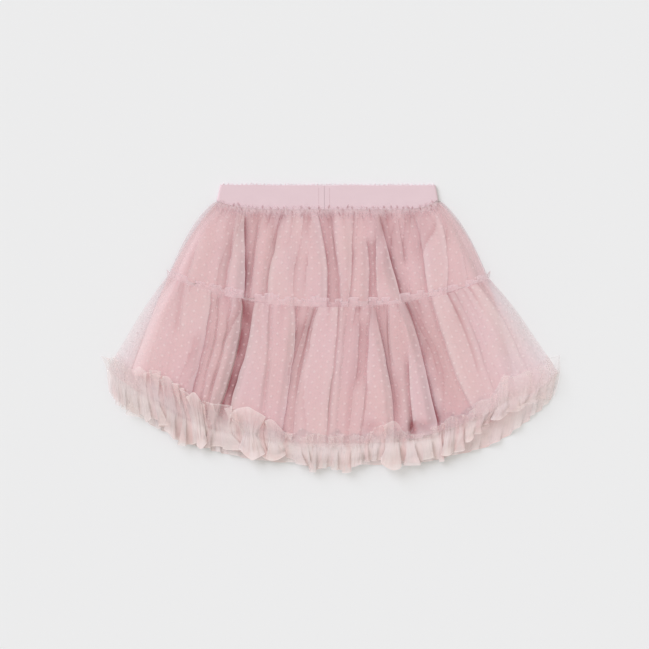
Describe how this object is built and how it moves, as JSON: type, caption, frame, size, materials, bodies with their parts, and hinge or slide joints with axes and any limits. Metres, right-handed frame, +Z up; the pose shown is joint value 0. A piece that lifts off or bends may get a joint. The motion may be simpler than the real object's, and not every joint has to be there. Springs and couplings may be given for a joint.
{
  "type": "tulle skirt",
  "caption": "Child's tiered tulle skirt with a wide elastic waistband, gathered tiers, a ruffled hem and a plain lining, laid flat.",
  "frame": {"origin": "centre of the underside of the whole skirt as it lies on its back", "axes": "+Z up out of the front of the skirt, +Y along the skirt towards the waistband, +X across it to the viewer's right"},
  "size_m": [0.5014, 0.3154, 0.0257],
  "materials": {
    "elastic": "dusty pink woven waist elastic, matt",
    "dotted_tulle": "dusty pink translucent tulle with small raised swiss dots",
    "ruffle_tulle": "pale pink translucent tulle",
    "lining": "plain opaque pink lining, slightly satin"
  },
  "bodies": {
    "root": {"waistband": "elastic", "upper_tier_front": "dotted_tulle", "lower_tier_front": "dotted_tulle", "upper_tier_back": "dotted_tulle", "lower_tier_back": "dotted_tulle", "hem_ruffle_front": "ruffle_tulle", "hem_ruffle_back": "ruffle_tulle", "lining_front": "lining", "lining_back": "lining"}
  },
  "joints": []
}
